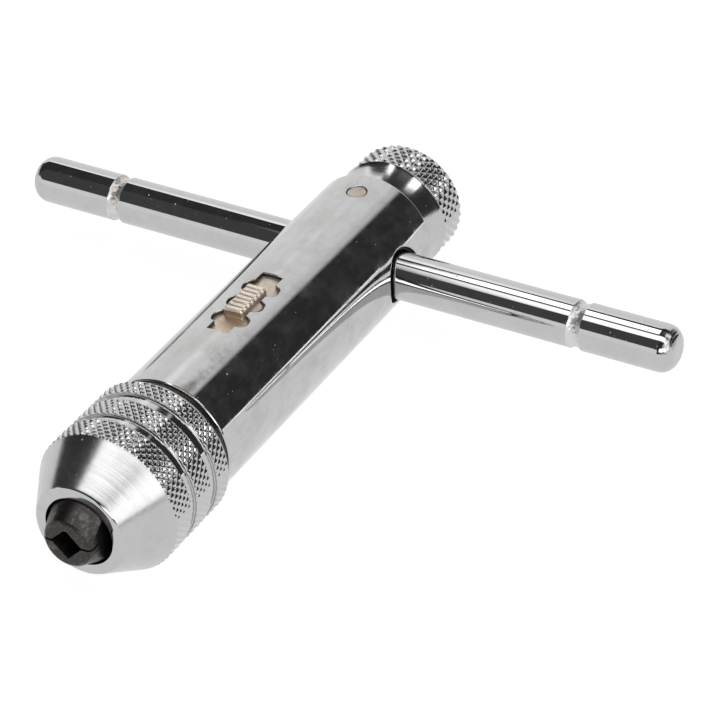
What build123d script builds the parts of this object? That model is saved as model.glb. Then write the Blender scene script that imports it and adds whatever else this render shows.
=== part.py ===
from build123d import *
import os
from math import cos, hypot, radians, sin, sqrt, tan

# Ratcheting tap wrench with a sliding T-bar, a three-way ratchet selector and a two-jaw chuck.
#
# Millimetres. The tool lies on its chuck sleeve: its long axis runs along Y with the jaws
# towards -Y, the T-bar lies along X and the selector window faces up. The origin is on the
# resting surface, under the middle of the whole tool. Stations are distances along the tool
# axis from the T-bar's axis, positive towards the rear knob.

# ---------------------------------------------------------------- driving dimensions

# T-bar
bar_radius = 3.27
bar_length = 98.5
bar_end_round = 2.2
bar_groove_reach = 35.4
bar_groove_width = 1.8
bar_groove_depth = 0.36

# handle tube
tube_radius = 9.0
tube_wall = 0.5
tube_rear_reach = 7.8
tube_edge_round = 0.3
bar_hole_radius = 3.8
bar_hole_rim = 0.25
window_edge_round = 0.12

# rear knob: one turned piece, whose stem plugs the tube and is cross-drilled for the bar
stem_hole_play = 0.23
stem_front_wall = 1.7
knob_neck_length = 4.9
knob_head_length = 6.0
knob_head_inset = 0.77
knob_crown_inset = 1.13
knob_crown_length = 1.7
knob_crown_radius = 1.85
knob_front_chamfer = 0.13
knob_front_land = 0.25
knob_neck_inset = 0.98
knob_waist_inset = 0.72
knob_waist_reach = 2.2
stem_shoulder = 0.3
stem_ring_pitch = 0.9
stem_ring_depth = 0.18
stem_ring_count = 5

# knob pin
pin_radius = 1.4
pin_station = 3.5
pin_length = 4.6
pin_sink = 0.12
pin_chamfer = 0.15

# bar detent
detent_ball_radius = 1.5
detent_bore_length = 8.6
detent_spring_wire = 0.35
detent_spring_turns = 7

# selector window, lobes and travel
window_half_length = 7.0
window_half_width = 1.5
selector_travel = 3.8
lobe_width = 2.8
lobe_span = 5.2
selector_end_gap = 0.3

# selector slide
thumb_end_gap = 0.1
thumb_side_play = 0.15
thumb_proud = 0.7
thumb_ribs = 7
thumb_rib_depth = 0.32
thumb_rib_crest = 0.2
plate_thickness = 1.07
plate_half_angle = 32.0
click_thickness = 0.3
click_half_angle = 26.0
ear_sink = 0.25
ear_play = 0.3

# pawl
pawl_length = 4.4
pawl_blade = 0.6
pawl_cup_radius = 1.0
pawl_cup_wall = 0.28
pawl_cup_height = 1.1
pawl_blade_rise = 0.6
pawl_spring_wire = 0.18
pawl_spring_turns = 4
pawl_roof = 0.32

# spindle
tooth_count = 24
tooth_depth = 0.9
tooth_valley_half_angle = 3.4
tooth_land_angle = 1.0
ring_length = 6.5
ring_split = 0.8
shaft_radius = 5.2
tail_radius = 4.0
tail_gap = 0.4
tail_land = 0.8
circlip_thickness = 0.6
circlip_seat_depth = 0.5
circlip_band = 1.7
circlip_gap_angle = 70.0
washer_thickness = 0.5
washer_edge_gap = 1.15
bush_length = 3.3
journal_relief = 1.6
journal_length = 3.75
flange_thickness = 2.05
flange_overhang = 0.3
neck_radius = 6.6
thread_radius = 7.2
thread_lead = 1.25
prong_backset = 3.3

# chuck sleeve
sleeve_gap = 1.5
sleeve_overhang = 1.06
sleeve_rear_inset = 0.4
sleeve_rear_run = 0.6
band_lengths = (3.07, 3.35, 3.35)
groove_lengths = (1.48, 1.30)
groove_depth = 0.45
band_chamfer = 0.18
cone_length = 6.7
nose_radius = 6.23
nose_round = 0.6
nose_hole_radius = 4.8
counterbore_play = 0.3
stop_ring_thickness = 0.8
stop_ring_lip = 0.5
stop_ring_outer = 8.35
stop_ring_gap_angle = 40.0
thread_turns = 3.2

# jaws
jaw_protrusion = 2.8
jaw_tip_radius = 3.22
jaw_cone_angle = 24.0
jaw_half_width = 3.5
jaw_cap_radius = 6.15
jaw_tip_round = 0.25
upper_lobe_round = 0.7
upper_apex_round = 0.55
lower_lobe_round = 0.35
lower_apex_round = 0.12
jaw_rest_gap = 0.15
socket_square = 3.18
socket_square_open = 5.5
socket_length = 9.0
close_travel = 0.3
jaw_spring_radius = 1.1
jaw_spring_wire = 0.3
jaw_spring_offset = 1.75
jaw_spring_setback = 2.9
jaw_spring_depth = 2.6
jaw_spring_turns = 7

# clearances
running = 0.05
press = 0.01
axial_play = 0.1
guide_play = 0.05
groove_play = 0.05
cone_play = 0.06
thread_play = 0.06
sheet_play = 0.02
click_play = 0.06
ring_play = 0.15
rest_gap = 0.02
pocket_play = 0.1

# ---------------------------------------------------------------- derived sizes

tube_bore = tube_radius - tube_wall
stem_radius = tube_bore - press
stem_hole_radius = bar_radius + stem_hole_play
stem_front = -(stem_hole_radius + stem_front_wall)
knob_head_radius = tube_radius - knob_head_inset
knob_end_radius = knob_head_radius - knob_crown_inset
knob_neck_end = tube_rear_reach + knob_neck_length
knob_end = knob_neck_end + knob_head_length

detent_bore_radius = detent_ball_radius + running
detent_ball_station = bar_radius + rest_gap + detent_ball_radius
detent_bore_end = bar_radius + detent_bore_length
detent_coil_radius = detent_ball_radius - running - detent_spring_wire / 2
detent_spring_seat = sqrt((detent_ball_radius + detent_spring_wire / 2)**2 - detent_coil_radius**2)
detent_spring_start = (detent_ball_station + detent_spring_seat - detent_spring_wire / 2
                       + rest_gap)

tail_end = stem_front - tail_gap
circlip_rear = tail_end - tail_land
circlip_front = circlip_rear - circlip_thickness
washer_rear = circlip_front - running
washer_front = washer_rear - washer_thickness
bush_rear = washer_front - running
bush_front = bush_rear - bush_length
plate_half_length = window_half_length + selector_travel
window_station = bush_front - selector_end_gap - selector_travel - plate_half_length
journal_rear = window_station - selector_travel - plate_half_length - journal_relief
tube_front = journal_rear - journal_length
flange_rear = tube_front - axial_play
flange_front = flange_rear - flange_thickness

click_outer = tube_bore - click_play
click_inner = click_outer - click_thickness
plate_outer = click_inner - sheet_play
plate_inner = plate_outer - plate_thickness
tooth_outer = plate_inner - ring_play
tooth_root = tooth_outer - tooth_depth
ear_top = tube_radius - ear_sink
thumb_top = tube_radius + thumb_proud
thumb_length = 2 * (window_half_length - selector_travel - thumb_end_gap)
thumb_half_width = window_half_width - thumb_side_play
ear_half_width = lobe_width / 2 - ear_play
ear_span = lobe_span - 2 * ear_play

pawl_foot = tooth_root + running
pawl_lift = tooth_depth
pawl_cup_bottom = plate_inner - running
pawl_cup_top = pawl_cup_bottom + pawl_cup_height
pawl_blade_top = pawl_cup_bottom + pawl_blade_rise
pawl_cavity_top = max(pawl_cup_top + pawl_lift + running, thumb_top - thumb_rib_depth - pawl_roof)
pawl_slot_top = pawl_blade_top + pawl_lift + running
pawl_pocket_floor = pawl_cup_bottom + pawl_cup_wall

sleeve_radius = tube_radius + sleeve_overhang
sleeve_rear = tube_front - sleeve_gap
sleeve_cone_rear = sleeve_rear - sum(band_lengths) - sum(groove_lengths)
nose_face = sleeve_cone_rear - cone_length

jaw_tip = nose_face - jaw_protrusion
cone_slope = tan(radians(jaw_cone_angle))
jaw_open = (socket_square_open - socket_square) / sqrt(2)
open_travel = jaw_open / cone_slope
jaw_close = close_travel * cone_slope
socket_half_diagonal = socket_square / sqrt(2)

stop_groove_rear = flange_front - close_travel - 2 * axial_play - stop_ring_lip
stop_groove_front = stop_groove_rear - stop_ring_thickness - 2 * groove_play
thread_engagement = thread_turns * thread_lead
neck_front = stop_groove_front - open_travel - 2 * axial_play
sleeve_thread_front = neck_front - thread_engagement
slot_floor = neck_front - 2 * stop_ring_lip
jaw_rear = slot_floor - axial_play
jaw_shank_radius = thread_radius + thread_play - jaw_open - pocket_play
jaw_shoulder = sleeve_thread_front - open_travel - 2 * axial_play
cavity_radius = jaw_cap_radius + jaw_open + pocket_play
slot_half_width = jaw_half_width + running
prong_tip = nose_face + prong_backset
prong_play = jaw_close + cone_play + 2 * pocket_play

axis_height = sleeve_radius
bar_y = -(jaw_tip + knob_end) / 2

HANDLE = Plane(origin=(0, bar_y, axis_height), x_dir=(1, 0, 0), z_dir=(0, 0, 1))
BAR_END = Plane(origin=(0, bar_y, axis_height), x_dir=(0, 1, 0), z_dir=(1, 0, 0))
TOOL_AXIS = Axis((0, bar_y, axis_height), (0, 1, 0))
BAR_AXIS = Axis((0, bar_y, axis_height), (1, 0, 0))


def jaw_radius(station):
    """Outside radius of the jaws' cone at a station."""
    return jaw_tip_radius + cone_slope * (station - jaw_tip)


def jaw_station(radius):
    """Station at which the jaws' cone has a radius."""
    return jaw_tip + (radius - jaw_tip_radius) / cone_slope


def across(station):
    """Plane across the tool axis, X right and Z up; positive extrusions run to the nose."""
    return Plane(origin=(0, bar_y + station, axis_height), x_dir=(1, 0, 0), z_dir=(0, -1, 0))


def level(height):
    """Plane over the tool axis, X right and Y towards the rear; positive extrusions run up."""
    return Plane(origin=(0, bar_y, axis_height + height), x_dir=(1, 0, 0), z_dir=(0, 0, 1))


def turn(outline, mode=Mode.ADD):
    """Revolve a closed outline of (radius, station) points about the tool axis."""
    with BuildSketch(HANDLE) as profile:
        with BuildLine():
            Polyline(*outline, close=True)
        make_face()
    revolve(profile.sketch, axis=TOOL_AXIS, mode=mode)


def tube_outline(inner, outer, rear, front):
    """Outline of a plain ring between two radii and two stations."""
    return [(inner, rear), (outer, rear), (outer, front), (inner, front)]


def polar(radius, angle):
    """Point on a cross plane, its angle in degrees from straight up towards +X."""
    return (radius * sin(radians(angle)), radius * cos(radians(angle)))


def curved_sheet(inner, outer, half_angle, rear, front, mode=Mode.ADD):
    """Part of a tube wall over the top of the tool axis."""
    with BuildSketch(across(rear)) as profile:
        with BuildLine():
            CenterArc((0, 0), outer, 90 - half_angle, 2 * half_angle)
            CenterArc((0, 0), inner, 90 - half_angle, 2 * half_angle)
            Line(polar(inner, half_angle), polar(outer, half_angle))
            Line(polar(inner, -half_angle), polar(outer, -half_angle))
        make_face()
    extrude(profile.sketch, amount=rear - front, mode=mode)


def split_ring(inner, outer, rear, front, gap_angle, gap_centre):
    """Open ring around the tool axis, its gap centred on an angle from straight up."""
    turn(tube_outline(inner, outer, rear, front))
    with BuildSketch(across(rear + axial_play)) as gap:
        with BuildLine():
            Polyline((0, 0), polar(2 * outer, gap_centre - gap_angle / 2),
                     polar(2 * outer, gap_centre + gap_angle / 2), close=True)
        make_face()
    extrude(gap.sketch, amount=rear - front + 2 * axial_play, mode=Mode.SUBTRACT)


def coil(radius, wire, start, end, turns):
    """Coil spring between two points, its wire's outer surface just inside both."""
    run = Vector(*end) - Vector(*start)
    length = run.length - wire
    foot = Vector(*start) + run.normalized() * (wire / 2)
    with BuildLine() as path:
        Helix(pitch=length / turns, height=length, radius=radius, center=foot, direction=run)
    with BuildSketch(Plane(origin=path.line @ 0, z_dir=path.line % 0)) as section:
        Circle(wire / 2)
    sweep(section.sketch, path=path.line, is_frenet=True)


def finish(piece, name):
    """Label a finished piece and write it."""
    piece.part.label = name
    export_step(piece.part, f"parts/{name}.step")


os.makedirs("parts", exist_ok=True)

# ---------------------------------------------------------------- handle

# Thin tube: window with three pairs of lobes on top, bar hole through both walls, pin hole.
with BuildPart() as handle_tube:
    turn(tube_outline(tube_bore, tube_radius, tube_rear_reach, tube_front))
    ends = handle_tube.edges().filter_by(GeomType.CIRCLE).sort_by(SortBy.RADIUS)[-2:]
    fillet(ends, radius=tube_edge_round)
    with BuildSketch(BAR_END):
        Circle(bar_hole_radius)
    extrude(amount=tube_radius, both=True, mode=Mode.SUBTRACT)
    rims = handle_tube.edges().filter_by(GeomType.BSPLINE).filter_by(
        lambda e: hypot((e @ 0).X, (e @ 0).Z - axis_height) > tube_radius - press)
    fillet(rims, radius=bar_hole_rim)
    with BuildSketch(level(0)):
        with Locations((0, window_station)):
            Rectangle(2 * window_half_width, 2 * window_half_length)
        with Locations(*[(0, window_station + step * selector_travel) for step in (-1, 0, 1)]):
            SlotOverall(lobe_span, lobe_width)
        with Locations((0, pin_station)):
            Circle(pin_radius + press)
    extrude(amount=tube_radius, mode=Mode.SUBTRACT)
    openings = handle_tube.edges().filter_by(
        lambda e: hypot((e @ 0.5).X, (e @ 0.5).Z - axis_height) > tube_radius - press
        and abs((e @ 0.5).X) < lobe_span and (e @ 0.5).Z > axis_height)
    fillet(openings, radius=window_edge_round)
finish(handle_tube, "handle_tube")

# Knob: barrel-shaped head, waisted neck, stem with turned rings, cross hole and detent bore.
stem_rings_rear = stem_front + (stem_ring_count + 0.5) * stem_ring_pitch
ring_points = []
for ring in range(stem_ring_count):
    groove = stem_rings_rear - (ring + 0.5) * stem_ring_pitch
    ring_points += [(stem_radius, groove + stem_ring_pitch / 2),
                    (stem_radius - stem_ring_depth, groove)]

with BuildPart() as rear_knob:
    with BuildSketch(HANDLE):
        with BuildLine():
            head = Line((0, knob_end), (knob_end_radius, knob_end))
            crown = RadiusArc(head @ 1, (knob_head_radius, knob_end - knob_crown_length),
                              knob_crown_radius)
            land = Polyline(crown @ 1,
                            (knob_head_radius, knob_neck_end),
                            (knob_head_radius - knob_front_chamfer,
                             knob_neck_end - knob_front_land))
            cove = ThreePointArc(land @ 1,
                                 (knob_head_radius - knob_waist_inset,
                                  tube_rear_reach + knob_waist_reach),
                                 (knob_head_radius - knob_neck_inset, tube_rear_reach + axial_play))
            Polyline(cove @ 1,
                     (stem_radius, tube_rear_reach - stem_shoulder),
                     *ring_points,
                     (stem_radius, stem_front + stem_ring_pitch / 2),
                     (stem_radius - stem_ring_depth, stem_front),
                     (0, stem_front),
                     (0, knob_end))
        make_face()
    revolve(axis=TOOL_AXIS)
    with BuildSketch(BAR_END):
        Circle(stem_hole_radius)
    extrude(amount=tube_radius, both=True, mode=Mode.SUBTRACT)
    with BuildSketch(across(detent_bore_end)):
        Circle(detent_bore_radius)
    extrude(amount=detent_bore_end, mode=Mode.SUBTRACT)
    with BuildSketch(level(tube_radius - pin_length - axial_play)):
        with Locations((0, pin_station)):
            Circle(pin_radius + press)
    extrude(amount=pin_length, mode=Mode.SUBTRACT)
finish(rear_knob, "rear_knob")

# Pin through the tube wall into the stem, its chamfered top just under the tube's surface.
with BuildPart() as knob_pin:
    with BuildSketch(level(tube_radius - pin_length)):
        with Locations((0, pin_station)):
            Circle(pin_radius)
    extrude(amount=pin_length + tube_radius)
    turn(tube_outline(0, tube_radius - pin_sink, tube_rear_reach, stem_front),
         mode=Mode.INTERSECT)
    chamfer(knob_pin.edges().filter_by(GeomType.BSPLINE), length=pin_chamfer)
finish(knob_pin, "knob_pin")

with BuildPart() as rear_bush:
    turn(tube_outline(tail_radius + running, tube_bore - press, bush_rear, bush_front))
finish(rear_bush, "rear_bush")

# ---------------------------------------------------------------- T-bar and its detent

bar_tip = bar_length / 2
groove_radius = (bar_groove_width**2 / 4 + bar_groove_depth**2) / (2 * bar_groove_depth)
groove_centre = bar_radius - bar_groove_depth + groove_radius

with BuildPart() as t_bar:
    with BuildSketch(HANDLE):
        with BuildLine():
            Polyline((-bar_tip, 0), (bar_tip, 0), (bar_tip, bar_radius - bar_end_round))
            RadiusArc((bar_tip, bar_radius - bar_end_round),
                      (bar_tip - bar_end_round, bar_radius), -bar_end_round)
            Line((bar_tip - bar_end_round, bar_radius), (-bar_tip + bar_end_round, bar_radius))
            RadiusArc((-bar_tip + bar_end_round, bar_radius),
                      (-bar_tip, bar_radius - bar_end_round), -bar_end_round)
            Line((-bar_tip, bar_radius - bar_end_round), (-bar_tip, 0))
        make_face()
        with Locations((-bar_groove_reach, groove_centre), (bar_groove_reach, groove_centre)):
            Circle(groove_radius, mode=Mode.SUBTRACT)
    revolve(axis=BAR_AXIS)
finish(t_bar, "t_bar")

with BuildPart() as detent_ball:
    with Locations(HANDLE.from_local_coords((0, detent_ball_station, 0))):
        Sphere(detent_ball_radius)
finish(detent_ball, "detent_ball")

with BuildPart() as detent_spring:
    coil(detent_coil_radius, detent_spring_wire,
         (0, bar_y + detent_spring_start, axis_height),
         (0, bar_y + detent_bore_end - press, axis_height), detent_spring_turns)
finish(detent_spring, "detent_spring")

# ---------------------------------------------------------------- spindle


def ratchet_ring(rear, front, hand):
    """Saw teeth around the spindle; hand 1 or -1 says which side of a valley is steep."""
    pitch = 360 / tooth_count
    outline = []
    for tooth in range(tooth_count):
        valley = tooth * pitch
        outline += [polar(tooth_root, hand * (valley - tooth_valley_half_angle)),
                    polar(tooth_root, hand * (valley + tooth_valley_half_angle)),
                    polar(tooth_outer, hand * (valley + tooth_valley_half_angle)),
                    polar(tooth_outer, hand * (valley + tooth_valley_half_angle
                                               + tooth_land_angle))]
    with BuildSketch(across(rear)) as teeth:
        with BuildLine():
            Polyline(*outline, close=True)
        make_face()
    extrude(teeth.sketch, amount=rear - front)


with BuildPart() as spindle:
    turn([(0, tail_end),
          (tail_radius, tail_end),
          (tail_radius, circlip_rear + press),
          (tail_radius - circlip_seat_depth, circlip_rear + press),
          (tail_radius - circlip_seat_depth, circlip_front - press),
          (tail_radius, circlip_front - press),
          (tail_radius, bush_front - axial_play),
          (shaft_radius, bush_front - axial_play),
          (shaft_radius, journal_rear),
          (tube_bore - running, journal_rear),
          (tube_bore - running, flange_rear),
          (tube_bore + flange_overhang, flange_rear),
          (tube_bore + flange_overhang, flange_front),
          (neck_radius, flange_front),
          (neck_radius, neck_front),
          (thread_radius, neck_front),
          (thread_radius, jaw_station(thread_radius + prong_play)),
          (jaw_radius(prong_tip) - prong_play, prong_tip),
          (0, prong_tip)])
    ratchet_ring(window_station + ring_length, window_station + ring_split / 2, 1)
    ratchet_ring(window_station - ring_split / 2, window_station - ring_length, -1)
    with BuildSketch(across(slot_floor)):
        Rectangle(2 * slot_half_width, 4 * thread_radius)
    extrude(amount=slot_floor - prong_tip + axial_play, mode=Mode.SUBTRACT)
finish(spindle, "spindle")

with BuildPart() as tail_circlip:
    split_ring(tail_radius - circlip_seat_depth + press,
               tail_radius - circlip_seat_depth + circlip_band,
               circlip_rear, circlip_front, circlip_gap_angle, gap_centre=180)
finish(tail_circlip, "tail_circlip")

with BuildPart() as tail_washer:
    turn(tube_outline(tail_radius + running, tube_bore - washer_edge_gap,
                      washer_rear, washer_front))
finish(tail_washer, "tail_washer")

# ---------------------------------------------------------------- selector

# Curved slide under the window, with the ribbed thumb piece standing through it.
rib_pitch = thumb_length / thumb_ribs
thumb_profile = [(-thumb_length / 2, plate_inner), (-thumb_length / 2, thumb_top - thumb_rib_depth)]
for rib in range(thumb_ribs):
    rib_middle = -thumb_length / 2 + (rib + 0.5) * rib_pitch
    thumb_profile += [(rib_middle - thumb_rib_crest / 2, thumb_top),
                      (rib_middle + thumb_rib_crest / 2, thumb_top),
                      (rib_middle + rib_pitch / 2, thumb_top - thumb_rib_depth)]
thumb_profile += [(thumb_length / 2, plate_inner)]

with BuildPart() as selector_slide:
    with BuildSketch(BAR_END):
        with BuildLine():
            Polyline(*[(window_station + along, height) for along, height in thumb_profile],
                     close=True)
        make_face()
    extrude(amount=thumb_half_width, both=True)
    turn(tube_outline(0, plate_inner, window_station + thumb_length,
                      window_station - thumb_length), mode=Mode.SUBTRACT)
    curved_sheet(plate_inner, plate_outer, plate_half_angle,
                 window_station + plate_half_length, window_station - plate_half_length)
    with BuildSketch(level(0)):
        with Locations((0, window_station)):
            Circle(pawl_cup_radius + guide_play)
    extrude(amount=pawl_cavity_top, mode=Mode.SUBTRACT)
    with BuildSketch(level(0)):
        with Locations((0, window_station)):
            Rectangle(pawl_blade + 2 * guide_play, pawl_length + 2 * guide_play)
    extrude(amount=pawl_slot_top, mode=Mode.SUBTRACT)
finish(selector_slide, "selector_slide")

# Spring-steel cover sheet, whose two ears click into a pair of lobes.
with BuildPart() as click_spring:
    with BuildSketch(level(0)):
        with Locations((0, window_station)):
            SlotOverall(ear_span, 2 * ear_half_width)
    extrude(amount=tube_radius)
    turn(tube_outline(0, ear_top, window_station + lobe_width, window_station - lobe_width),
         mode=Mode.INTERSECT)
    turn(tube_outline(0, click_inner, window_station + lobe_width, window_station - lobe_width),
         mode=Mode.SUBTRACT)
    curved_sheet(click_inner, click_outer, click_half_angle,
                 window_station + plate_half_length, window_station - plate_half_length)
    with BuildSketch(level(0)):
        with Locations((0, window_station)):
            Rectangle(2 * (thumb_half_width + guide_play), thumb_length + 2 * guide_play)
    extrude(amount=tube_radius, mode=Mode.SUBTRACT)
finish(click_spring, "click_spring")

# Pawl: blade that drops between the teeth, with a cup for its spring.
with BuildPart() as pawl:
    with BuildSketch(level(pawl_foot)):
        with Locations((0, window_station)):
            Rectangle(pawl_blade, pawl_length)
    extrude(amount=pawl_blade_top - pawl_foot)
    with BuildSketch(level(pawl_cup_bottom)):
        with Locations((0, window_station)):
            Circle(pawl_cup_radius)
    extrude(amount=pawl_cup_height)
    with BuildSketch(level(pawl_pocket_floor)):
        with Locations((0, window_station)):
            Circle(pawl_cup_radius - pawl_cup_wall)
    extrude(amount=pawl_cup_height, mode=Mode.SUBTRACT)
finish(pawl, "pawl")

with BuildPart() as pawl_spring:
    coil(pawl_cup_radius - pawl_cup_wall - running - pawl_spring_wire / 2, pawl_spring_wire,
         (0, bar_y + window_station, axis_height + pawl_pocket_floor + press),
         (0, bar_y + window_station, axis_height + pawl_cavity_top - press),
         pawl_spring_turns)
finish(pawl_spring, "pawl_spring")

# ---------------------------------------------------------------- chuck

# Sleeve: three bands for the knurls, two smooth grooves, cone nose, and inside it the
# counterbore over the spindle flange, the stop ring's groove, the thread and the closing cone.
sleeve_outline = [(flange_overhang + tube_bore + counterbore_play, sleeve_rear),
                  (sleeve_radius - sleeve_rear_inset, sleeve_rear),
                  (sleeve_radius, sleeve_rear - sleeve_rear_run)]
edge = sleeve_rear
for band, length in enumerate(band_lengths):
    if band > 0:
        sleeve_outline += [(sleeve_radius - band_chamfer, edge),
                           (sleeve_radius, edge - band_chamfer)]
    sleeve_outline += [(sleeve_radius, edge - length + band_chamfer)]
    edge -= length
    if band < len(groove_lengths):
        sleeve_outline += [(sleeve_radius - band_chamfer, edge),
                           (sleeve_radius - groove_depth, edge),
                           (sleeve_radius - groove_depth, edge - groove_lengths[band])]
        edge -= groove_lengths[band]
sleeve_outline += [(sleeve_radius, sleeve_cone_rear),
                   (nose_radius, nose_face),
                   (nose_hole_radius, nose_face),
                   (nose_hole_radius, jaw_station(nose_hole_radius - cone_play)),
                   (cavity_radius, jaw_station(cavity_radius - cone_play)),
                   (cavity_radius, sleeve_thread_front),
                   (thread_radius + thread_play, sleeve_thread_front),
                   (thread_radius + thread_play, stop_groove_front),
                   (stop_ring_outer + groove_play, stop_groove_front),
                   (stop_ring_outer + groove_play, stop_groove_rear),
                   (thread_radius + thread_play, stop_groove_rear),
                   (thread_radius + thread_play, stop_groove_rear + stop_ring_lip),
                   (flange_overhang + tube_bore + counterbore_play,
                    stop_groove_rear + stop_ring_lip)]

with BuildPart() as chuck_sleeve:
    turn(sleeve_outline)
    nose = chuck_sleeve.edges().filter_by(GeomType.CIRCLE).group_by(Axis.Y)[0]
    fillet(nose.sort_by(SortBy.RADIUS)[-1], radius=nose_round)
finish(chuck_sleeve, "chuck_sleeve")

with BuildPart() as sleeve_stop_ring:
    split_ring(neck_radius + running, stop_ring_outer, stop_groove_rear - groove_play,
               stop_groove_front + groove_play, stop_ring_gap_angle, gap_centre=0)
finish(sleeve_stop_ring, "sleeve_stop_ring")


def jaw(side, lobe_round, apex_round):
    """One jaw: side 1 lies above the tool axis and -1 below it."""
    socket_rear = jaw_tip + socket_length
    notch = socket_half_diagonal - jaw_rest_gap
    with BuildSketch(across(jaw_rear)) as block:
        with Locations((0, side * jaw_cap_radius / 2 + side * jaw_rest_gap)):
            Rectangle(2 * jaw_half_width, jaw_cap_radius)
    extrude(block.sketch, amount=jaw_rear - socket_rear)
    with BuildSketch(across(socket_rear)) as face:
        with BuildLine():
            Polyline((-jaw_half_width, side * jaw_rest_gap),
                     (-notch, side * jaw_rest_gap),
                     (0, side * socket_half_diagonal),
                     (notch, side * jaw_rest_gap),
                     (jaw_half_width, side * jaw_rest_gap),
                     (jaw_half_width, side * jaw_cap_radius),
                     (-jaw_half_width, side * jaw_cap_radius), close=True)
        make_face()
        lobes = face.vertices().filter_by(
            lambda v: abs(abs(v.X) - notch) < press and abs(v.Y) < 2 * jaw_rest_gap)
        fillet(lobes, radius=lobe_round)
        apex = face.vertices().filter_by(
            lambda v: abs(v.X) < press and abs(abs(v.Y) - socket_half_diagonal) < press)
        fillet(apex, radius=apex_round)
    extrude(face.sketch, amount=socket_rear - jaw_tip)
    turn([(0, jaw_rear),
          (jaw_shank_radius, jaw_rear),
          (jaw_shank_radius, jaw_shoulder),
          (jaw_cap_radius, jaw_shoulder),
          (jaw_cap_radius, jaw_station(jaw_cap_radius)),
          (jaw_radius(jaw_tip + jaw_tip_round), jaw_tip + jaw_tip_round),
          (jaw_tip_radius - jaw_tip_round, jaw_tip),
          (0, jaw_tip)], mode=Mode.INTERSECT)
    with BuildSketch(level(0)) as pockets:
        with Locations(*jaw_spring_places):
            Circle(jaw_spring_radius + pocket_play)
    extrude(pockets.sketch, amount=side * (jaw_rest_gap + jaw_spring_depth), mode=Mode.SUBTRACT)


jaw_spring_station = jaw_rear - jaw_spring_setback
jaw_spring_places = [(-jaw_spring_offset, jaw_spring_station),
                     (jaw_spring_offset, jaw_spring_station)]

with BuildPart() as upper_jaw:
    jaw(1, upper_lobe_round, upper_apex_round)
finish(upper_jaw, "upper_jaw")

with BuildPart() as lower_jaw:
    jaw(-1, lower_lobe_round, lower_apex_round)
finish(lower_jaw, "lower_jaw")

jaw_spring_reach = jaw_rest_gap + jaw_spring_depth - press
for spring_name, (spring_x, spring_station) in zip(
        ("left_jaw_spring", "right_jaw_spring"), jaw_spring_places):
    with BuildPart() as jaw_spring:
        coil(jaw_spring_radius - jaw_spring_wire / 2, jaw_spring_wire,
             (spring_x, bar_y + spring_station, axis_height - jaw_spring_reach),
             (spring_x, bar_y + spring_station, axis_height + jaw_spring_reach),
             jaw_spring_turns)
    finish(jaw_spring, spring_name)
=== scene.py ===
"""A ratcheting T-handle tap wrench on a white studio floor."""
import math

import bmesh
import bpy
import numpy as np
from mathutils import Matrix, Vector


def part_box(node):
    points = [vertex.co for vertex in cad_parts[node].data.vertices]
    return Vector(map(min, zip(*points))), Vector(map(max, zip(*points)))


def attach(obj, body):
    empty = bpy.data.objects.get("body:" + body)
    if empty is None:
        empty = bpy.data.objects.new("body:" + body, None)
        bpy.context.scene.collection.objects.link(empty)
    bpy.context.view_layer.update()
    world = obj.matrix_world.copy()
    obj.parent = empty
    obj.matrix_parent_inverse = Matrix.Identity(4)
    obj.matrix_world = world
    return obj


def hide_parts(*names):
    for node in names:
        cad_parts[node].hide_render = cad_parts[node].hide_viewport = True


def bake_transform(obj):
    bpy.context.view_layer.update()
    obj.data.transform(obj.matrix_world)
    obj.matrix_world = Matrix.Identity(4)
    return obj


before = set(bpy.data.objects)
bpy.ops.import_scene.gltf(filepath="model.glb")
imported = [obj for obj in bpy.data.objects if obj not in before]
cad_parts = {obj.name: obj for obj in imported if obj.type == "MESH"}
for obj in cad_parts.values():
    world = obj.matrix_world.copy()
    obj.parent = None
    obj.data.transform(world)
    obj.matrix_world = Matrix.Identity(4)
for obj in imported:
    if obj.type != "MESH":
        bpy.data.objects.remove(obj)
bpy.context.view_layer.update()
scene = bpy.context.scene

MM = 0.001
bar_low, bar_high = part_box("t_bar")
AXIS_HEIGHT = (bar_low.z + bar_high.z) / 2
BAR_Y = (bar_low.y + bar_high.y) / 2

# The sizes below are in millimetres. Stations run from the cross bar's axis towards the knob,
# so those of the sleeve and the window are negative; heights and radii start at the tool's axis.
BAR_STATION = BAR_Y / MM
AXIS_UP = AXIS_HEIGHT / MM

# The spacing of the points on a turned piece's rounded corners.
ROUND_STEP = 0.08

# Body tube: its skin, the window's floor, and the dish pressed round the cross bar's hole.
TUBE_RADIUS = 9.0
WINDOW_FLOOR = 4.5
BORE_REACH = 12.0
DISH_INNER = 3.7
DISH_OUTER = 6.6
DISH_DEPTH = 0.06

# Cross bar and its two grooves, by their distance from the middle of the bar.
BAR_RADIUS = 3.27
BAR_TIP = 49.25
TIP_ROUND = 2.2
TIP_BENDS = 26
BAR_GROOVE_REACH = 35.4
BAR_GROOVE_HALF = 0.9
BAR_GROOVE_DEPTH = 0.36
COCKLE_WAVES = 16
COCKLE_DEPTH = 0.03
TIP_RING_DEPTH = 0.012
TIP_RING_GAPS = (0.42, 0.27)

# Rear knob: where its stem goes into the tube, and its head.
STEM_HIDDEN = 7.4
HEAD_FRONT = 12.7
HEAD_REAR = 18.7
HEAD_RADIUS = 8.23
HEAD_END_RADIUS = 7.10
CROWN_LENGTH = 1.7
CROWN_RADIUS = 1.85
KNOB_STARTS = 38
KNOB_PITCH = 1.45
KNOB_STEP = KNOB_PITCH / 20
KNOB_KNURL_DEPTH = 0.22

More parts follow.
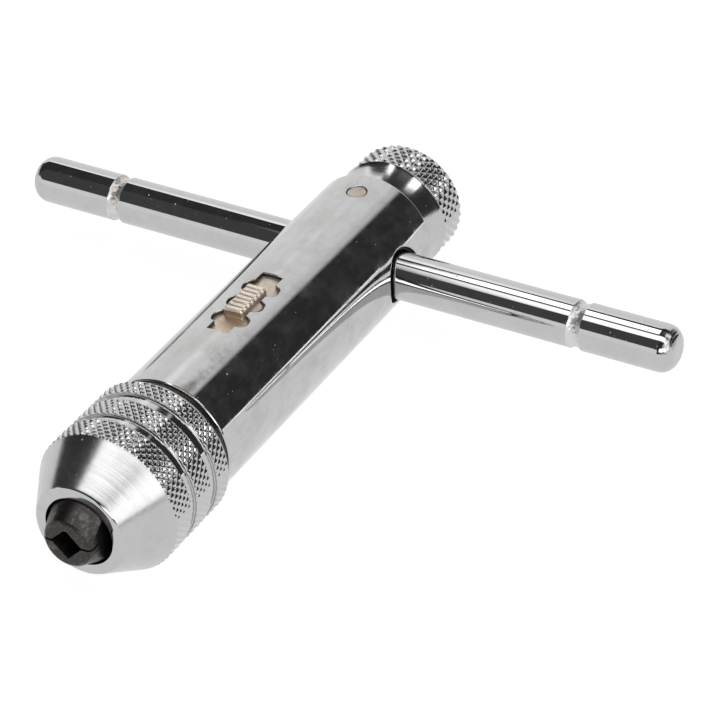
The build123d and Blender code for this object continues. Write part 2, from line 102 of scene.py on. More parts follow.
# Chuck sleeve: three knurled bands with two grooves between them, then the turned cone.
SLEEVE_RADIUS = 10.06
SLEEVE_REAR = -47.25
REAR_BORE = 9.1
BANDS = (3.07, 3.35, 3.35)
GROOVES = (1.48, 1.30)
GROOVE_DEPTH = 0.45
REAR_CHAMFER = (0.6, 0.4)
NOSE_FACE = -66.5
NOSE_RADIUS = 6.23
NOSE_HOLE = 4.8
CONE_FRONT = -66.3
CONE_REAR = -59.9
SLEEVE_STARTS = 60
SLEEVE_PITCH = 1.19
SLEEVE_STEP = SLEEVE_PITCH / 16
SLEEVE_KNURL_DEPTH = 0.17
RUN_OUT = 0.55
# Its inside from the nose back, as (station, radius): the nose hole's end, the jaws' cone, the
# thread's relief and bore, the stop ring's groove and the rear recess.
SLEEVE_INSIDE = ((-65.89, NOSE_HOLE), (-58.95, 7.89), (-57.68, 7.89), (-57.68, 7.26),
                 (-49.8, 7.26), (-49.8, 8.4), (-48.9, 8.4), (-48.9, 7.26), (-48.4, 7.26),
                 (-48.4, REAR_BORE))

# Thumb piece of the selector, which stands on the block over the pawl's hollow.
BLOCK_TOP = 9.1
THUMB_STATION = -25.8
THUMB_HALF_LENGTH = 3.1
THUMB_HALF_WIDTH = 1.35
THUMB_WAIST = 9.16
THUMB_TOP = 9.7
THUMB_RIBS = 7
RIB_CUTS = 14
RIB_BOW = 2.6
THUMB_NOTCH = 0.21
THUMB_END_NOTCH = 0.22
THUMB_END_ROUND = 0.3
THUMB_BENDS = 8


# ---------------------------------------------------------------- shader maths

class Field:
    """A value that varies over a surface; arithmetic on it adds Math nodes."""

    def __init__(self, finish, socket):
        self.finish = finish
        self.socket = socket

    def _math(self, operation, first, second=0.0):
        return self.finish.node("Math", {"operation": operation}, {0: first, 1: second})

    def __add__(self, other):
        return self._math("ADD", self, other)

    def __radd__(self, other):
        return self._math("ADD", other, self)

    def __sub__(self, other):
        return self._math("SUBTRACT", self, other)

    def __rsub__(self, other):
        return self._math("SUBTRACT", other, self)

    def __mul__(self, other):
        return self._math("MULTIPLY", self, other)

    def __rmul__(self, other):
        return self._math("MULTIPLY", other, self)

    def __pow__(self, other):
        return self._math("POWER", self, other)

    def __abs__(self):
        return self._math("ABSOLUTE", self)

    def __gt__(self, other):
        return self._math("GREATER_THAN", self, other)

    def __lt__(self, other):
        return self._math("LESS_THAN", self, other)

    def most(self, other):
        return self._math("MAXIMUM", self, other)

    def root(self):
        return self._math("SQRT", self)

    def rise(self, start, end):
        """0 up to start, 1 from end, with a smooth step between."""
        return self.finish.node("MapRange", {"interpolation_type": "SMOOTHSTEP"},
                                {"Value": self, "From Min": start, "From Max": end})


class Finish:
    """The node tree of one finish."""

    def __init__(self, tree):
        self.tree = tree
        tree.nodes.clear()

    def node(self, kind, settings=None, sockets=None, output=0):
        """A node with its settings made first, then its sockets filled or linked."""
        made = self.tree.nodes.new("ShaderNode" + kind)
        for name, value in (settings or {}).items():
            setattr(made, name, value)
        for name, value in (sockets or {}).items():
            if isinstance(value, Field):
                self.tree.links.new(value.socket, made.inputs[name])
            elif isinstance(value, tuple) and len(value) == 3 and made.inputs[name].type == "RGBA":
                made.inputs[name].default_value = (*value, 1.0)
            else:
                made.inputs[name].default_value = value
        return Field(self, made.outputs[output]) if made.outputs else None

    def place(self):
        """Position on the piece in millimetres."""
        position = self.node("TexCoord", output="Object")
        return self.node("VectorMath", {"operation": "SCALE"}, {0: position, "Scale": 1 / MM})

    def parts(self, vector):
        """The three numbers of a vector."""
        return [self.node("SeparateXYZ", None, {0: vector}, output=axis) for axis in "XYZ"]

    def stretched(self, vector, scales):
        """A vector with each of its numbers scaled."""
        return self.node("VectorMath", {"operation": "MULTIPLY"}, {0: vector, 1: scales})

    def noise(self, vector, scale, detail=2.0, roughness=0.5):
        return self.node("TexNoise", None, {"Vector": vector, "Scale": scale, "Detail": detail,
                                            "Roughness": roughness})

    def blend(self, factor, first, second):
        """A colour between two colours."""
        return self.node("Mix", {"data_type": "RGBA"}, {0: factor, 6: first, 7: second}, output=2)

    def specks(self, vector, scale, size, share):
        """1 inside small round specks, one in a share of the cells; size is in cells."""
        sockets = {"Vector": vector, "Scale": scale, "Randomness": 1.0}
        away = self.node("TexVoronoi", None, sockets, output="Distance")
        cell = self.node("TexVoronoi", None, sockets, output="Color")
        lucky = self.parts(cell)[0] < share
        return lucky * (1.0 - away.rise(size * 0.6, size))

    def bump(self, height, depth, normal=None):
        """A normal from a height of 0 to 1 that is depth millimetres high."""
        sockets = {"Height": height, "Strength": 1.0, "Distance": depth * MM}
        if normal is not None:
            sockets["Normal"] = normal
        return self.node("Bump", None, sockets)

    def soft_edges(self, radius):
        return self.node("Bevel", {"samples": 6}, {"Radius": radius * MM})

    def surface(self, **sockets):
        """The Principled shader, its sockets named with _ for each space, wired to the output."""
        shader = self.node("BsdfPrincipled", None,
                           {name.replace("_", " "): value for name, value in sockets.items()})
        self.node("OutputMaterial", None, {"Surface": shader})


def finish_named(name):
    material = bpy.data.materials.new(name)
    material.use_nodes = True
    return material, Finish(material.node_tree)


# ---------------------------------------------------------------- finishes

CHROME = (0.56, 0.56, 0.57)
CHROME_WORN = (0.50, 0.49, 0.47)
CHROME_PITTED = (0.72, 0.71, 0.69)
# Painted shade: near-black colours for the walls of the tube's window and cross hole and its bore
# near them, and for the knob's stem inside the tube.
TUBE_WALL_SHADE = (0.12, 0.095, 0.075)
STEM_INSIDE_SHADE = (0.07, 0.066, 0.062)


def chrome(name, haze=0.5, dusty=0.2, knob=False, tube=False, sleeve=False, bar=False,
           inside=None):
    """Bright chrome plate with faint haze, pits and dust, and the marks that its piece has:
    turning rings and a duller neck on the knob, a dish round the tube's cross hole, a turned
    cone on the sleeve, rough grooves and tips on the bar. inside is where painted shade darkens
    the walls and bores inside the piece, and the colour of that painted shade."""
    material, f = finish_named(name)
    place = f.place()
    x, y, z = f.parts(place)
    station, height = y - BAR_STATION, z - AXIS_UP
    cloud = f.noise(place, 0.22, 4.0, 0.6)
    smear = f.noise(f.stretched(place, (1.0, 0.35, 1.0)), 0.9, 4.0, 0.65)
    fine_cloud = f.noise(place, 1.3, 3.0, 0.6)
    pits = f.specks(place, 0.42, 0.05, 0.5)
    dust = f.specks(place, 1.1, 0.07, dusty)
    mark = pits.most(dust * 0.7)
    worn = cloud.rise(0.42, 0.66) * 0.6 + smear.rise(0.44, 0.7) * 0.5
    roughness = 0.035 + haze * (0.09 * cloud.rise(0.45, 0.75) + 0.06 * fine_cloud.rise(0.4, 0.7))
    colour = f.blend(worn * haze, CHROME, CHROME_WORN)
    normal = f.soft_edges(0.12) if tube else None
    normal = f.bump(f.noise(place, 0.35, 1.0), 0.004, normal)
    if knob:
        lathe = f.noise(f.stretched(place, (0.0, 1.0, 0.0)), 5.0, 3.0, 0.7)
        normal = f.bump(lathe, 0.006, normal)
        neck = 1.0 - station.rise(HEAD_FRONT - 0.5, HEAD_FRONT - 0.1)
        roughness = roughness + 0.11 * neck
    if tube:
        out = (station ** 2 + height ** 2).root()
        normal = f.bump(1.0 - out.rise(DISH_INNER, DISH_OUTER), DISH_DEPTH, normal)
    if sleeve:
        cut = station.rise(CONE_FRONT, CONE_FRONT + 0.05)
        cut = cut * (1.0 - station.rise(CONE_REAR - 0.05, CONE_REAR))
        lathe = f.noise(f.stretched(place, (0.0, 1.0, 0.0)), 11.0, 1.0, 0.5)
        streak = f.noise(f.stretched(place, (0.05, 1.0, 0.05)), 4.0, 3.0, 0.7)
        roughness = roughness + cut * (0.10 + 0.14 * streak)
        normal = f.bump(lathe * cut, 0.013, normal)
    if bar:
        reach = abs(x)
        groove = reach.rise(BAR_GROOVE_REACH - 1.1, BAR_GROOVE_REACH - 0.8)
        groove = groove * (1.0 - reach.rise(BAR_GROOVE_REACH + 0.8, BAR_GROOVE_REACH + 1.1))
        tip = reach.rise(BAR_TIP - 1.95, BAR_TIP - 0.65)
        turning = f.noise(f.stretched(place, (1.0, 0.05, 0.05)), 5.0, 3.0, 0.6)
        roughness = roughness + groove * 0.34 + tip * (0.04 + 0.16 * turning)
        colour = f.blend(groove * 0.7, colour, (0.80, 0.79, 0.78))
        normal = f.bump(turning * tip, 0.08, normal)
        stain = groove * fine_cloud.rise(0.5, 0.62) * (x < 0.0)
        colour = f.blend(stain * 0.5, colour, (0.50, 0.38, 0.27))
    metallic = 1.0 - 0.07 * haze * worn
    # Painted shade: the walls and bores inside take a near-black colour and a rougher finish.
    if inside:
        depth, shade = inside
        painted_shade = depth(x, station, height)
        colour = f.blend(painted_shade, colour, shade)
        roughness = roughness + painted_shade * 0.33
    pitted = f.bump(1.0 - mark, 0.03, normal)
    f.surface(Base_Color=f.blend(mark * 0.8, colour, CHROME_PITTED), Metallic=metallic - 0.5 * mark,
              Roughness=roughness + 0.35 * mark, Normal=pitted)
    return material


def below_tube_skin(x, station, height):
    """1 on the walls of the tube's window and cross hole, and on its bore near them."""
    out = (x ** 2 + height ** 2).root()
    side = (x ** 2 + station ** 2).root()
    sunk = 1.0 - out.rise(TUBE_RADIUS - 0.16, TUBE_RADIUS - 0.1)
    return sunk * (height > WINDOW_FLOOR).most(side < BORE_REACH)


def stem_in_tube(x, station, height):
    """1 on the knob's stem, inside the tube."""
    return 1.0 - station.rise(STEM_HIDDEN - 0.05, STEM_HIDDEN + 0.05)


def black_oxide():
    """Ground steel blackened with oxide, rubbed lighter here and there."""
    material, f = finish_named("black_oxide")
    place = f.place()
    ground = f.noise(f.stretched(place, (0.25, 1.0, 0.25)), 3.5, 4.0, 0.65)
    rubbed = f.noise(place, 0.6, 3.0, 0.6).rise(0.5, 0.75)
    drag = f.noise(f.stretched(place, (1.0, 0.12, 1.0)), 3.0, 4.0, 0.7).rise(0.5, 0.8)
    colour = f.blend(rubbed * 0.4 + drag * 0.6, (0.052, 0.047, 0.045), (0.26, 0.24, 0.23))
    normal = f.bump(ground, 0.014, f.soft_edges(0.16))
    f.surface(Base_Color=colour, Metallic=0.9, Roughness=0.26 + 0.16 * ground, Normal=normal)
    return material


def satin_steel(name, tone, metallic, gloss, shade_patch_at=None, shade_below=None):
    """Pressed steel with a faint stain and a fine grain. shade_below is the height up to which its
    sides are painted darker and less metallic, as painted shade. A brown patch of painted shade
    can also be given by its middle and reach; it stays on the shaded sides where there are any."""
    material, f = finish_named(name)
    place = f.place()
    x, y, z = f.parts(place)
    stain = f.noise(place, 0.9, 4.0, 0.6)
    grain = f.noise(f.stretched(place, (1.0, 0.3, 1.0)), 9.0, 3.0, 0.7)
    colour = f.blend(stain.rise(0.46, 0.74), tone, tuple(0.72 * part for part in tone))
    shade = 1.0
    # Painted shade: below shade_below the sides turn a darker brown-grey and less metallic.
    if shade_below:
        shade = 1.0 - (z - AXIS_UP).rise(shade_below - 0.12, shade_below + 0.1)
        colour = f.blend(shade, colour, (0.44, 0.35, 0.275))
        metallic = metallic - 0.4 * shade
    # Painted shade: a brown patch round the given middle, for the hollow in front of the thumb
    # piece; on a piece with shaded sides it stays on those sides.
    if shade_patch_at:
        across, station, reach = shade_patch_at
        out = ((x - across) ** 2 + (y - (BAR_STATION + station)) ** 2).root()
        brown = 1.0 - (out + 2.6 * stain).rise(reach * 0.8, reach + 1.2)
        colour = f.blend(brown * 0.8 * shade, colour, (0.48, 0.33, 0.20))
    normal = f.bump(grain, 0.012, f.soft_edges(0.07))
    f.surface(Base_Color=colour, Metallic=metallic, Roughness=gloss + 0.18 * grain, Normal=normal)
    return material


def bare_steel(name, tone, gloss):
    """Ground or drawn steel, by its tone and roughness."""
    material, f = finish_named(name)
    place = f.place()
    cloud = f.noise(place, 0.8, 3.0)
    grain = f.noise(f.stretched(place, (0.4, 1.0, 0.4)), 6.0, 3.0, 0.7)
    colour = f.blend(cloud, tone, tuple(0.78 * part for part in tone))
    f.surface(Base_Color=colour, Metallic=1.0, Roughness=gloss + 0.14 * grain,
              Normal=f.bump(grain, 0.01, f.soft_edges(0.06)))
    return material


FINISHES = {
    # The tube and the knob are darkened inside with painted shade.
    "tube": chrome("chrome_tube", haze=1.0, tube=True, inside=(below_tube_skin, TUBE_WALL_SHADE)),
    "bar": chrome("chrome_bar", haze=0.4, dusty=0.9, bar=True),
    "knob": chrome("chrome_knob", haze=0.4, knob=True, inside=(stem_in_tube, STEM_INSIDE_SHADE)),
    "sleeve": chrome("chrome_sleeve", haze=0.4, sleeve=True),
    "oxide": black_oxide(),
    "satin": satin_steel("satin_steel", (0.62, 0.54, 0.47), 0.7, 0.34),
    # The click sheet gets a brown patch of painted shade in front of the thumb piece.
    "sheet": satin_steel("click_sheet", (0.78, 0.68, 0.58), 0.75, 0.32, shade_patch_at=(0.5, -30.0, 2.4)),
    # The thumb steel's sides are painted darker below shade_below, and its front takes a brown
    # patch; both are painted shade.
    "thumb": satin_steel("thumb_steel", (0.88, 0.77, 0.65), 0.9, 0.24,
                         shade_patch_at=(0.3, -29.7, 2.8), shade_below=9.28),
    "hard": bare_steel("hard_steel", (0.50, 0.50, 0.50), 0.22),
    "spring": bare_steel("spring_steel", (0.38, 0.38, 0.39), 0.30),
    "bronze": bare_steel("bronze", (0.62, 0.42, 0.22), 0.26),
}
NODE_FINISH = {
    "handle_tube": "tube", "rear_knob": "knob", "t_bar": "bar", "chuck_sleeve": "sleeve",
    "knob_pin": "satin", "selector_slide": "satin", "click_spring": "sheet",
    "spindle": "oxide", "upper_jaw": "oxide", "lower_jaw": "oxide", "rear_bush": "bronze",
    "detent_ball": "hard", "tail_washer": "hard", "pawl": "hard",
    "detent_spring": "spring", "tail_circlip": "spring", "pawl_spring": "spring",
    "sleeve_stop_ring": "spring", "left_jaw_spring": "spring", "right_jaw_spring": "spring",
}


def painted(piece, finish):
    piece.data.materials.clear()
    piece.data.materials.append(FINISHES[finish])


for node, finish in NODE_FINISH.items():
    painted(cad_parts[node], finish)


# ---------------------------------------------------------------- making pieces

def linked(name, data):
    made = bpy.data.objects.new(name, data)
    scene.collection.objects.link(made)
    return made


def solid(name, vertices, faces):
    """A closed mesh with its faces turned outward, as a new object."""
    mesh = bpy.data.meshes.new(name)
    mesh.from_pydata(vertices, [], faces)
    work = bmesh.new()
    work.from_mesh(mesh)
    bmesh.ops.recalc_face_normals(work, faces=work.faces)
    work.to_mesh(mesh)
    work.free()
    mesh.shade_smooth()
    return linked(name, mesh)


def part_of(name, node, cuts=()):
    """A copy of a CAD node, cut and capped so that nothing of it lies beyond the planes in
    cuts, each a (point, normal)."""
    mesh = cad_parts[node].data.copy()
    mesh.name = name
    work = bmesh.new()
    work.from_mesh(mesh)
    bmesh.ops.remove_doubles(work, verts=work.verts, dist=1e-7)
    for point, normal in cuts:
        cut = bmesh.ops.bisect_plane(work, geom=work.verts[:] + work.edges[:] + work.faces[:],
                                     plane_co=point, plane_no=normal, clear_outer=True)
        rim = [edge for edge in cut["geom_cut"] if isinstance(edge, bmesh.types.BMEdge)]
        bmesh.ops.holes_fill(work, edges=rim, sides=0)
    work.to_mesh(mesh)
    work.free()
    mesh.shade_smooth()
    mesh.set_sharp_from_angle(angle=math.radians(28))
    return linked(name, mesh)


def dressed(piece, body, node, finish):
    """Fit a piece to its body, in place of a CAD node."""
    painted(piece, finish)
    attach(piece, body)
    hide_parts(node)


def outline(corners, steps):
    """Points along a turned outline of (station, radius, rounding) corners, in millimetres.
    steps gives the spacing of the points on the run after each corner."""
    count = len(corners)
    points = []
    for index, (station, radius, rounding) in enumerate(corners):
        here = np.array((station, radius))
        before = np.array(corners[index - 1][:2])
        after = np.array(corners[(index + 1) % count][:2])
        to_before = (before - here) / max(np.linalg.norm(before - here), 1e-9)
        to_after = (after - here) / max(np.linalg.norm(after - here), 1e-9)
        if rounding:
            half = math.acos(max(-1.0, min(1.0, float(to_before @ to_after)))) / 2
            reach = rounding / math.tan(half)
            inward = (to_before + to_after) / np.linalg.norm(to_before + to_after)
            centre = here + inward * rounding / math.sin(half)
            start = here + to_before * reach - centre
            end = here + to_after * reach - centre
            turn = math.atan2(start[0] * end[1] - start[1] * end[0], float(start @ end))
            bends = max(3, int(abs(turn) * rounding / ROUND_STEP))
            for bend in range(bends + 1):
                angle = turn * bend / bends
                cosine, sine = math.cos(angle), math.sin(angle)
                points.append(centre + (start[0] * cosine - start[1] * sine,
                                        start[0] * sine + start[1] * cosine))
        else:
            points.append(here)
        last = points[-1]
        next_rounding = corners[(index + 1) % count][2]
        if index == count - 1 and steps[index] is None:
            break
        stop = after
        if next_rounding:
            beyond = np.array(corners[(index + 2) % count][:2])
            to_beyond = (beyond - after) / max(np.linalg.norm(beyond - after), 1e-9)
            half = math.acos(max(-1.0, min(1.0, float(-to_after @ to_beyond)))) / 2
            stop = after - to_after * next_rounding / math.tan(half)
        run = float(np.linalg.norm(stop - last))
        pieces = max(1, int(round(run / steps[index])))
        points += [last + (stop - last) * part / pieces for part in range(1, pieces)]
    return np.array(points)


def turned(name, points, segments, relief, axis, closed):
    """A mesh turned about the tool's axis ("y") or the bar's ("x") from (station, radius)
    points; relief moves each ring's radius by angle. An open outline ends on the axis."""
    angles = np.linspace(0.0, 2 * math.pi, segments, endpoint=False)
    stations = np.repeat(points[:, 0:1], segments, axis=1)
    radii = np.repeat(points[:, 1:2], segments, axis=1)
    radii = relief(stations, radii, np.repeat(angles[None, :], len(points), axis=0))
    across, up = radii * np.sin(angles), radii * np.cos(angles)
    if axis == "y":
        places = np.stack([across, stations + BAR_STATION, up + AXIS_UP], axis=-1)
    else:
        places = np.stack([stations, across + BAR_STATION, up + AXIS_UP], axis=-1)
    rings = len(points)
    vertices = (places.reshape(-1, 3) * MM).tolist()
    faces = []
    last = rings if closed else rings - 1
    order = np.arange(segments)
    following = (order + 1) % segments
    for ring in range(last):
        low = ring * segments
        high = ((ring + 1) % rings) * segments
        faces.append(np.stack([low + order, low + following, high + following, high + order], 1))
    faces = np.concatenate(faces).tolist()
    if not closed:
        faces.append(list(range(segments))[::-1])
        faces.append(list(range((rings - 1) * segments, rings * segments)))
    return solid(name, vertices, faces)


def smooth_step(value, start, end):
    part = np.clip((value - start) / (end - start), 0.0, 1.0)
    return part * part * (3 - 2 * part)


def knurl(stations, angles, starts, pitch, land, weaker=1.0):
    """0 at the bottom of the diamond knurl's grooves and 1 on its lands; land is the flat
    share of each diamond and weaker the depth of the grooves of the other hand."""
    around = angles * starts / (2 * math.pi)
    along = stations / pitch
    first = np.abs(around + along - np.round(around + along)) * 2
    second = np.abs(around - along - np.round(around - along)) * 2
    flank = 1 - land
    second = 1 - weaker * (1 - np.clip(second / flank, 0, 1))
    return np.minimum(np.clip(first / flank, 0, 1), second)


# ---------------------------------------------------------------- chuck sleeve

def sleeve_corners():
    """The sleeve's outline from its rear face forward, then back through its inside."""
    corners, steps = [(SLEEVE_REAR, REAR_BORE, 0.1)], [0.3]
    edge = SLEEVE_REAR
    for band, length in enumerate(BANDS):
        if band == 0:
            corners += [(edge, SLEEVE_RADIUS - REAR_CHAMFER[1], 0.06),
                        (edge - REAR_CHAMFER[0], SLEEVE_RADIUS, 0.12)]
            steps += [SLEEVE_STEP, SLEEVE_STEP]
        else:
            corners += [(edge, SLEEVE_RADIUS, 0.1)]
            steps += [SLEEVE_STEP]
        edge -= length
        if band < len(GROOVES):
            corners += [(edge, SLEEVE_RADIUS, 0.2), (edge, SLEEVE_RADIUS - GROOVE_DEPTH, 0.1)]
            steps += [0.05, 0.2]
            edge -= GROOVES[band]
            corners += [(edge, SLEEVE_RADIUS - GROOVE_DEPTH, 0.1)]
            steps += [0.1]
    fall = (SLEEVE_RADIUS - NOSE_RADIUS) / (edge - NOSE_FACE)
    corners += [(edge, SLEEVE_RADIUS, 0.04),
                (edge - RUN_OUT, SLEEVE_RADIUS - RUN_OUT * fall, 0.0),
                (NOSE_FACE, NOSE_RADIUS, 0.6), (NOSE_FACE, NOSE_HOLE, 0.1)]
    steps += [SLEEVE_STEP, 0.35, 0.3, 0.3]
    corners += [(station, radius, 0.0) for station, radius in SLEEVE_INSIDE]
    steps += [1.0, 1.0, 0.5, 2.0, 0.5, 0.5, 0.5, 0.3, 0.5, 0.4]
    return corners, steps


def sleeve_relief(stations, radii, angles):
    """Cut the diamond knurl into the three bands; its grooves run out on the cone."""
    last_band = SLEEVE_REAR - sum(BANDS[:2]) - sum(GROOVES)
    weaker = np.where(stations > last_band, 0.8, 1.0)
    height = knurl(stations - SLEEVE_REAR, angles, SLEEVE_STARTS, SLEEVE_PITCH, 0.16, weaker)
    crest = SLEEVE_RADIUS - SLEEVE_KNURL_DEPTH * (1 - height)
    outside = radii > SLEEVE_RADIUS - SLEEVE_KNURL_DEPTH - 0.08
    banded = outside & (stations > last_band - BANDS[2] - RUN_OUT)
    return np.where(banded, np.minimum(radii, crest), radii)


sleeve_points = outline(*sleeve_corners())
sleeve = turned("knurled_sleeve", sleeve_points, SLEEVE_STARTS * 16, sleeve_relief, "y", True)
dressed(sleeve, "sleeve", "chuck_sleeve", "sleeve")

# ---------------------------------------------------------------- rear knob

def crown_points():
    """The head's outline from its front face over the crown to its rear face."""
    start = np.array((HEAD_REAR - CROWN_LENGTH, HEAD_RADIUS))
    end = np.array((HEAD_REAR, HEAD_END_RADIUS))
    middle = (start + end) / 2
    chord = end - start
    length = np.linalg.norm(chord)
    inward = np.array((chord[1], -chord[0])) / length
    centre = middle + inward * math.sqrt(CROWN_RADIUS ** 2 - (length / 2) ** 2)
    from_angle = math.atan2(*(start - centre)[::-1])
    to_angle = math.atan2(*(end - centre)[::-1])
    bends = int(abs(to_angle - from_angle) * CROWN_RADIUS / KNOB_STEP)
    front = [(HEAD_FRONT, 0.4), (HEAD_FRONT, 4.0), (HEAD_FRONT, HEAD_RADIUS - 0.3),
             (HEAD_FRONT, HEAD_RADIUS - 0.06), (HEAD_FRONT + 0.03, HEAD_RADIUS)]
    side = [(float(s), HEAD_RADIUS) for s in np.arange(HEAD_FRONT + 0.1, start[0], KNOB_STEP)]
    crown = [tuple(centre + CROWN_RADIUS * np.array((math.cos(a), math.sin(a))))
             for a in np.linspace(from_angle, to_angle, bends)]
    rear = [(HEAD_REAR, r) for r in (HEAD_END_RADIUS - 0.08, HEAD_END_RADIUS - 0.4, 5.0, 2.5, 0.4)]
    return np.array(front + side + crown + rear)


def knob_relief(stations, radii, angles):
    """Cut the coarser diamond knurl into the head; it dies out on the rear face."""
    height = knurl(stations - HEAD_FRONT, angles, KNOB_STARTS, KNOB_PITCH, 0.08)
    outer = smooth_step(radii, HEAD_END_RADIUS - 0.35, HEAD_END_RADIUS + 0.15)
    clear = smooth_step(stations, HEAD_FRONT + 0.08, HEAD_FRONT + 0.3)
    return radii - KNOB_KNURL_DEPTH * (1 - height) * outer * clear


head = turned("knurled_knob_head", crown_points(), KNOB_STARTS * 20, knob_relief, "y", False)
dressed(head, "handle", "rear_knob", "knob")


# Its neck and stem keep the shape of the solid.
stem_end = (0, BAR_Y + (HEAD_FRONT - 0.01) * MM, 0)
stem = part_of("knob_stem", "rear_knob", [(stem_end, (0, 1, 0))])
dressed(stem, "handle", "rear_knob", "knob")


# ---------------------------------------------------------------- selector

block_top = (0, 0, AXIS_HEIGHT + BLOCK_TOP * MM)
plate = part_of("selector_plate", "selector_slide", [(block_top, (0, 0, 1))])
dressed(plate, "selector", "selector_slide", "thumb")


def ribbed_thumb():
    """The thumb piece: round-backed ribs across it with sharp notches between them."""
    count = THUMB_RIBS * RIB_CUTS
    rings = []
    for cut in range(count + 1):
        phase = abs(cut % RIB_CUTS / RIB_CUTS * 2 - 1)
        swell = math.sqrt(1 - phase ** RIB_BOW)
        top = THUMB_TOP - THUMB_NOTCH * (1 - swell)
        half = THUMB_HALF_WIDTH - THUMB_END_NOTCH * (1 - swell)
        station = THUMB_STATION + THUMB_HALF_LENGTH * (1 - 2 * cut / count)
        left = [(-THUMB_HALF_WIDTH, BLOCK_TOP), (-THUMB_HALF_WIDTH, THUMB_WAIST),
                (-half, THUMB_WAIST + 0.08)]
        left += [(THUMB_END_ROUND * (1 - math.cos(angle)) - half,
                  top - THUMB_END_ROUND * (1 - math.sin(angle)))
                 for angle in np.linspace(0, math.pi / 2, THUMB_BENDS + 1)]
        left += [(-0.45 * half, top), (-0.15 * half, top)]
        section = left + [(-x, z) for x, z in reversed(left)]
        rings.append([(x * MM, BAR_Y + station * MM, AXIS_HEIGHT + z * MM) for x, z in section])
    width = len(rings[0])
    vertices = [corner for ring in rings for corner in ring]
    faces = [(r * width + c, r * width + (c + 1) % width, (r + 1) * width + (c + 1) % width,
              (r + 1) * width + c) for r in range(count) for c in range(width)]
    faces += [tuple(range(width))[::-1], tuple(range(count * width, (count + 1) * width))]
    thumb = solid("ribbed_thumb", vertices, faces)
    thumb.data.set_sharp_from_angle(angle=math.radians(38))
    return thumb


dressed(ribbed_thumb(), "selector", "selector_slide", "thumb")


# ---------------------------------------------------------------- coil springs

def spring_between(name, node, cuts=()):
    """A spring copied from its CAD node and cut by cuts, given the spring steel finish and left
    where it stands, in place of the node."""
    spring = part_of(name, node, cuts)
    painted(spring, "spring")
    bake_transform(spring)
    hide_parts(node)


coil_low, coil_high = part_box("pawl_spring")
spring_between("pawl_coil", "pawl_spring")
coil_low, coil_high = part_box("detent_spring")
coil_middle = (coil_low + coil_high) / 2
spring_between("detent_coil", "detent_spring")
for side in ("left", "right"):
    node = side + "_jaw_spring"
    coil_low, coil_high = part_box(node)
    coil_middle = (coil_low + coil_high) / 2
    for jaw, way, tip in (("upper", 1, coil_high.z), ("lower", -1, coil_low.z)):
        spring_between(f"{side}_jaw_coil_{jaw}", node,
                       [(coil_middle, (0, 0, -way))])


# ---------------------------------------------------------------- cross bar

def bar_points():
    """The bar's outline from its left tip to its right tip."""
    half = [(BAR_TIP, r) for r in (0.05, 0.2, 0.4, 0.6, 0.8, BAR_RADIUS - TIP_ROUND)]
    half += [(BAR_TIP - TIP_ROUND * (1 - math.cos(a)), BAR_RADIUS - TIP_ROUND * (1 - math.sin(a)))
             for a in np.linspace(0, math.pi / 2, TIP_BENDS)[1:]]
    half += [(float(s), BAR_RADIUS) for s in (46.6, 44, 41, 38, 36.8, 36.5)]
    half += [(float(s), BAR_RADIUS)
             for s in np.arange(BAR_GROOVE_REACH + 1.05, BAR_GROOVE_REACH - 1.06, -0.06)]
    half += [(float(s), BAR_RADIUS) for s in (34.2, 33.8, 31, 26, 20, 14, 8, 3)]
    right = np.array(half)
    left = right * (-1, 1)
    return np.concatenate([left, right[::-1]])


def bar_relief(stations, radii, angles):
    """The grooves' round bottoms with their cockled plating, and turning rings on the tips."""
    ball = (BAR_GROOVE_HALF ** 2 + BAR_GROOVE_DEPTH ** 2) / (2 * BAR_GROOVE_DEPTH)
    out = np.abs(stations) - BAR_GROOVE_REACH
    inside = np.abs(out) < BAR_GROOVE_HALF
    sag = np.sqrt(np.maximum(ball ** 2 - out ** 2, 0)) - (ball - BAR_GROOVE_DEPTH)
    groove = np.where(inside, np.maximum(sag, 0), 0)
    cockle = np.zeros_like(radii)
    draw = np.random.default_rng(7)
    for _ in range(COCKLE_WAVES):
        turns = draw.integers(6, 40)
        waves = draw.uniform(-9.0, 9.0)
        shift = draw.uniform(0, 2 * math.pi)
        cockle += np.sin(turns * angles + waves * stations + shift) / COCKLE_WAVES ** 0.5
    fade = np.clip(groove / BAR_GROOVE_DEPTH, 0, 1)
    tip = smooth_step(np.abs(stations), BAR_TIP - 1.6, BAR_TIP - 0.4)
    rings = TIP_RING_DEPTH * sum(np.sin(radii * 2 * math.pi / gap) for gap in TIP_RING_GAPS) * tip
    return radii - groove + COCKLE_DEPTH * cockle * fade + np.where(radii > 0.3, rings, 0)


bar = turned("grooved_bar", bar_points(), 168, bar_relief, "x", False)
dressed(bar, "t_bar", "t_bar", "bar")


# ---------------------------------------------------------------- studio

def glow(name, radiance, dark, soft, crown=0.0):
    """An evenly lit card, its light falling to dark over a soft share at each edge: left,
    right, bottom and top. crown is how much brighter its upper left corner is."""
    material, f = finish_named(name)
    uv = f.parts(f.node("TexCoord", output="UV"))
    lit = uv[0].rise(-1e-4, max(soft[0], 1e-3)) * (1.0 - uv[0]).rise(-1e-4, max(soft[1], 1e-3))
    lit = lit * uv[1].rise(-1e-4, max(soft[2], 1e-3)) * (1.0 - uv[1]).rise(-1e-4, max(soft[3], 1e-3))
    strength = dark + lit * (radiance - dark)
    if crown:
        strength = strength * (1.0 + crown * uv[1].rise(0.65, 0.85) * (1.0 - uv[0].rise(0.3, 0.5)))
        strength = strength * (1.0 - 0.22 * uv[0].rise(0.72, 0.92))
    shader = f.node("Emission", None, {"Color": (1.0, 1.0, 1.0), "Strength": strength})
    f.node("OutputMaterial", None, {"Surface": shader})
    return material


CENTRE = Vector((0.0, BAR_Y, AXIS_HEIGHT))


